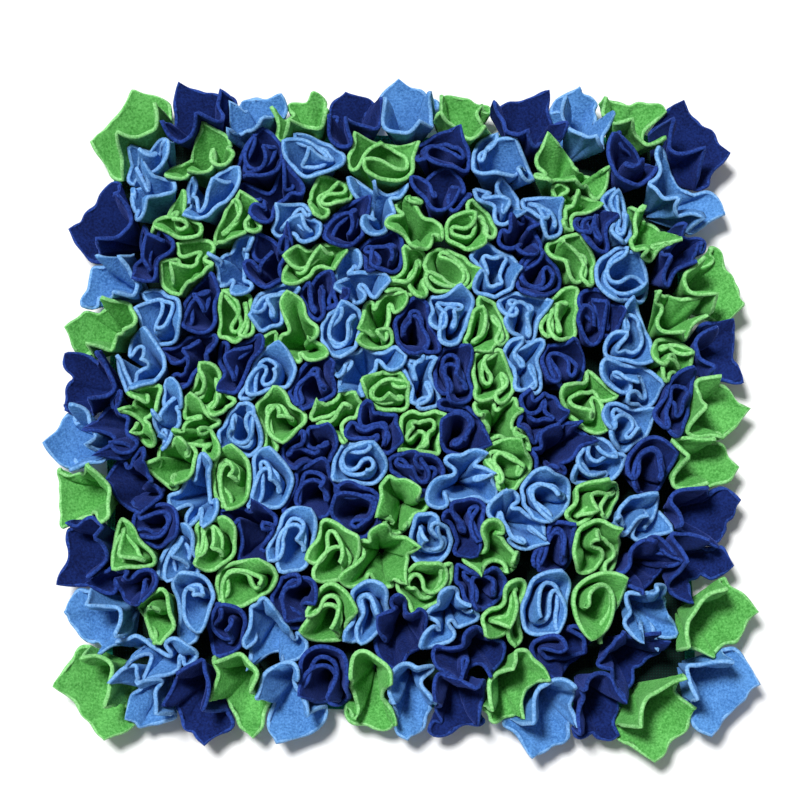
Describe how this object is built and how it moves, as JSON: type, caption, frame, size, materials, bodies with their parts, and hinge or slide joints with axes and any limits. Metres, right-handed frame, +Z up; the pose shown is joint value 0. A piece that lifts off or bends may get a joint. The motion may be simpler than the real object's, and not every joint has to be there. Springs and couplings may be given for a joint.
{
  "type": "snuffle mat",
  "caption": "Square snuffle mat of folded green, sky blue and navy fleece tufts sewn to a flat dark green base, which hides dry food for a pet to sniff out.",
  "frame": {"origin": "on the underside of the base, below the middle of the whole mat's outline", "axes": "+Z up out of the tufts, +Y towards the side that lies furthest from the viewer, +X to the viewer's right"},
  "size_m": [0.4509, 0.441, 0.0615],
  "materials": {
    "base_cloth": "coarse woven cloth, matt",
    "fleece_green": "brushed fleece, matt",
    "fleece_navy": "brushed fleece, matt",
    "fleece_sky": "brushed fleece, matt"
  },
  "bodies": {
    "root": {"base": "base_cloth", "green_tufts_01": "fleece_green", "green_tufts_02": "fleece_green", "green_tufts_03": "fleece_green", "green_tufts_04": "fleece_green", "green_tufts_05": "fleece_green", "green_tufts_06": "fleece_green", "green_tufts_07": "fleece_green", "green_tufts_08": "fleece_green", "green_tufts_09": "fleece_green", "green_tufts_10": "fleece_green", "green_tufts_11": "fleece_green", "green_tufts_12": "fleece_green", "green_tufts_13": "fleece_green", "green_tufts_14": "fleece_green", "green_tufts_15": "fleece_green", "green_tufts_16": "fleece_green", "green_tufts_17": "fleece_green", "green_tufts_18": "fleece_green", "green_tufts_19": "fleece_green", "navy_tufts_01": "fleece_navy", "navy_tufts_02": "fleece_navy", "navy_tufts_03": "fleece_navy", "navy_tufts_04": "fleece_navy", "navy_tufts_05": "fleece_navy", "navy_tufts_06": "fleece_navy", "navy_tufts_07": "fleece_navy", "navy_tufts_08": "fleece_navy", "navy_tufts_09": "fleece_navy", "navy_tufts_10": "fleece_navy", "navy_tufts_11": "fleece_navy", "navy_tufts_12": "fleece_navy", "navy_tufts_13": "fleece_navy", "navy_tufts_14": "fleece_navy", "navy_tufts_15": "fleece_navy", "navy_tufts_16": "fleece_navy", "navy_tufts_17": "fleece_navy", "navy_tufts_18": "fleece_navy", "navy_tufts_19": "fleece_navy", "sky_tufts_01": "fleece_sky", "sky_tufts_02": "fleece_sky", "sky_tufts_03": "fleece_sky", "sky_tufts_04": "fleece_sky", "sky_tufts_05": "fleece_sky", "sky_tufts_06": "fleece_sky", "sky_tufts_07": "fleece_sky", "sky_tufts_08": "fleece_sky", "sky_tufts_09": "fleece_sky", "sky_tufts_10": "fleece_sky", "sky_tufts_11": "fleece_sky", "sky_tufts_12": "fleece_sky", "sky_tufts_13": "fleece_sky", "sky_tufts_14": "fleece_sky", "sky_tufts_15": "fleece_sky", "sky_tufts_16": "fleece_sky", "sky_tufts_17": "fleece_sky", "sky_tufts_18": "fleece_sky", "sky_tufts_19": "fleece_sky"}
  },
  "joints": []
}
